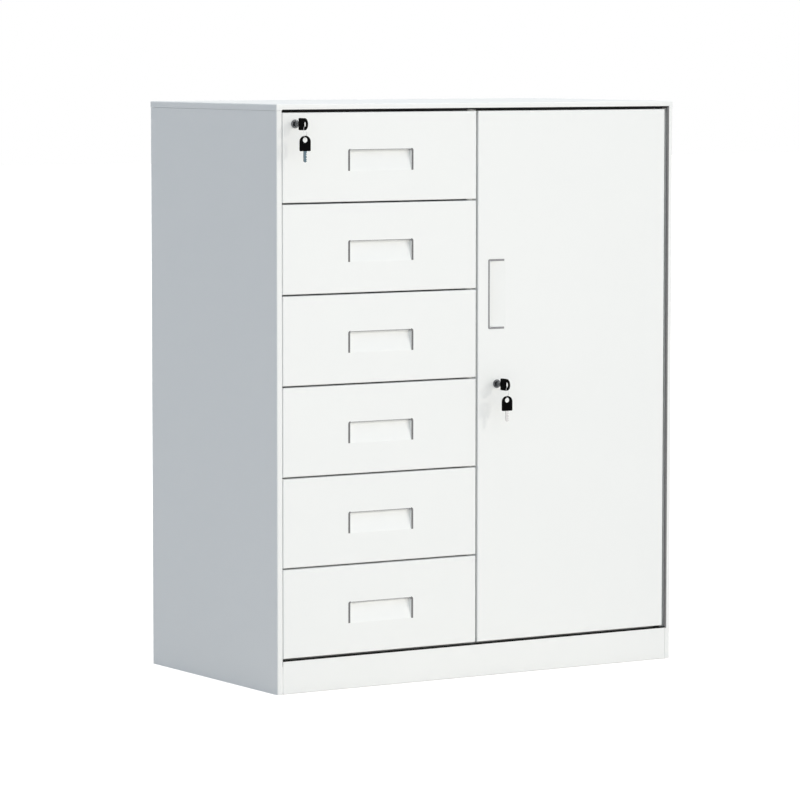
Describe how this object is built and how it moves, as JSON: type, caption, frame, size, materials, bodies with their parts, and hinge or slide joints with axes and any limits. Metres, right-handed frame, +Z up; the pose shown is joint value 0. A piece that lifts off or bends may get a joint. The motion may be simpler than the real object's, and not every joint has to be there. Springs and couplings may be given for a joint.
{
  "type": "drawer and door storage cabinet",
  "caption": "Low sheet-steel cabinet with a column of locking drawers beside a full-height hinged door, recessed pulls and a flush plinth.",
  "frame": {"origin": "on the floor, under the middle of the whole part, keys included", "axes": "+Z up, +Y to the back, +X to the right seen from the front"},
  "size_m": [0.9, 0.5254, 1.1],
  "materials": {
    "white_powder_coat": "satin powder coat",
    "zinc_plated_steel": "zinc plated",
    "bright_lock_metal": "polished plating",
    "black_key_plastic": "moulded grip on a steel blade",
    "key_ring_steel": "plain bright wire"
  },
  "bodies": {
    "carcass": {"left_side_panel": "white_powder_coat", "right_side_panel": "white_powder_coat", "top_panel": "white_powder_coat", "plinth_rail": "white_powder_coat", "floor_panel": "white_powder_coat", "back_panel": "white_powder_coat", "left_liner": "white_powder_coat", "right_liner": "white_powder_coat", "centre_partition": "white_powder_coat", "shelf_lower": "white_powder_coat", "shelf_clip_lower_left_front": "zinc_plated_steel", "shelf_clip_lower_right_front": "zinc_plated_steel", "shelf_clip_lower_left_rear": "zinc_plated_steel", "shelf_clip_lower_right_rear": "zinc_plated_steel", "shelf_upper": "white_powder_coat", "shelf_clip_upper_left_front": "zinc_plated_steel", "shelf_clip_upper_right_front": "zinc_plated_steel", "shelf_clip_upper_left_rear": "zinc_plated_steel", "shelf_clip_upper_right_rear": "zinc_plated_steel", "hinge_pin_lower": "zinc_plated_steel", "hinge_pin_upper": "zinc_plated_steel"},
    "lock_bar": {"lock_bar": "zinc_plated_steel"},
    "drawer_1": {"drawer_1_front": "white_powder_coat", "drawer_1_box": "white_powder_coat", "drawer_1_rail_left": "zinc_plated_steel", "drawer_1_rail_right": "zinc_plated_steel", "drawer_lock_housing": "bright_lock_metal"},
    "drawer_2": {"drawer_2_front": "white_powder_coat", "drawer_2_box": "white_powder_coat", "drawer_2_rail_left": "zinc_plated_steel", "drawer_2_rail_right": "zinc_plated_steel"},
    "drawer_3": {"drawer_3_front": "white_powder_coat", "drawer_3_box": "white_powder_coat", "drawer_3_rail_left": "zinc_plated_steel", "drawer_3_rail_right": "zinc_plated_steel"},
    "drawer_4": {"drawer_4_front": "white_powder_coat", "drawer_4_box": "white_powder_coat", "drawer_4_rail_left": "zinc_plated_steel", "drawer_4_rail_right": "zinc_plated_steel"},
    "drawer_5": {"drawer_5_front": "white_powder_coat", "drawer_5_box": "white_powder_coat", "drawer_5_rail_left": "zinc_plated_steel", "drawer_5_rail_right": "zinc_plated_steel"},
    "drawer_6": {"drawer_6_front": "white_powder_coat", "drawer_6_box": "white_powder_coat", "drawer_6_rail_left": "zinc_plated_steel", "drawer_6_rail_right": "zinc_plated_steel"},
    "door": {"door_skin": "white_powder_coat", "door_liner": "white_powder_coat", "door_lock_housing": "bright_lock_metal"},
    "drawer_lock_plug": {"drawer_lock_plug": "bright_lock_metal", "drawer_lock_cam": "zinc_plated_steel"},
    "drawer_key": {"drawer_key": "black_key_plastic"},
    "drawer_key_ring": {"drawer_key_ring": "key_ring_steel"},
    "drawer_spare_key": {"drawer_spare_key": "black_key_plastic"},
    "door_lock_plug": {"door_lock_plug": "bright_lock_metal", "door_lock_cam": "zinc_plated_steel"},
    "door_key": {"door_key": "black_key_plastic"},
    "door_key_ring": {"door_key_ring": "key_ring_steel"},
    "door_spare_key": {"door_spare_key": "black_key_plastic"}
  },
  "joints": [
    {"name": "drawer_1_slide", "type": "slide", "parent": "carcass", "child": "drawer_1", "axis": [0, -1, 0], "range_m": [0, 0.3]},
    {"name": "drawer_2_slide", "type": "slide", "parent": "carcass", "child": "drawer_2", "axis": [0, -1, 0], "range_m": [0, 0.3]},
    {"name": "drawer_3_slide", "type": "slide", "parent": "carcass", "child": "drawer_3", "axis": [0, -1, 0], "range_m": [0, 0.3]},
    {"name": "drawer_4_slide", "type": "slide", "parent": "carcass", "child": "drawer_4", "axis": [0, -1, 0], "range_m": [0, 0.3]},
    {"name": "drawer_5_slide", "type": "slide", "parent": "carcass", "child": "drawer_5", "axis": [0, -1, 0], "range_m": [0, 0.3]},
    {"name": "drawer_6_slide", "type": "slide", "parent": "carcass", "child": "drawer_6", "axis": [0, -1, 0], "range_m": [0, 0.3]},
    {"name": "door_hinge", "type": "hinge", "parent": "carcass", "child": "door", "pos_m": [0.4234, -0.2078, 0.067], "axis": [0, 0, 1], "range_deg": [0, 105]},
    {"name": "lock_bar_lift", "type": "slide", "parent": "carcass", "child": "lock_bar", "axis": [0, 0, 1], "range_m": [0, 0.01131]},
    {"name": "drawer_lock_turn", "type": "hinge", "parent": "drawer_1", "child": "drawer_lock_plug", "pos_m": [-0.4105, -0.2178, 1.0634], "axis": [0, 1, 0], "range_deg": [0, 90]},
    {"name": "drawer_key_withdraw", "type": "slide", "parent": "drawer_lock_plug", "child": "drawer_key", "axis": [0, -1, 0], "range_m": [0, 0.022]},
    {"name": "drawer_key_ring_swing", "type": "hinge", "parent": "drawer_key", "child": "drawer_key_ring", "pos_m": [-0.4105, -0.2542, 1.06075], "axis": [0.7071, 0.7071, 0], "range_deg": [-20, 20]},
    {"name": "drawer_spare_key_swing", "type": "hinge", "parent": "drawer_key_ring", "child": "drawer_spare_key", "pos_m": [-0.4105, -0.2542, 1.03705], "axis": [0.7071, 0.7071, 0], "range_deg": [-20, 20]},
    {"name": "door_lock_turn", "type": "hinge", "parent": "door", "child": "door_lock_plug", "pos_m": [0.0382, -0.2178, 0.56256], "axis": [0, 1, 0], "range_deg": [0, 90]},
    {"name": "door_key_withdraw", "type": "slide", "parent": "door_lock_plug", "child": "door_key", "axis": [0, -1, 0], "range_m": [0, 0.022]},
    {"name": "door_key_ring_swing", "type": "hinge", "parent": "door_key", "child": "door_key_ring", "pos_m": [0.0382, -0.2542, 0.55991], "axis": [0.7071, 0.7071, 0], "range_deg": [-20, 20]},
    {"name": "door_spare_key_swing", "type": "hinge", "parent": "door_key_ring", "child": "door_spare_key", "pos_m": [0.0382, -0.2542, 0.53621], "axis": [0.7071, 0.7071, 0], "range_deg": [-20, 20]}
  ],
  "couplings": [
    {"joint": "drawer_lock_turn", "follows": "lock_bar_lift", "rad_per_m": 138.84}
  ]
}
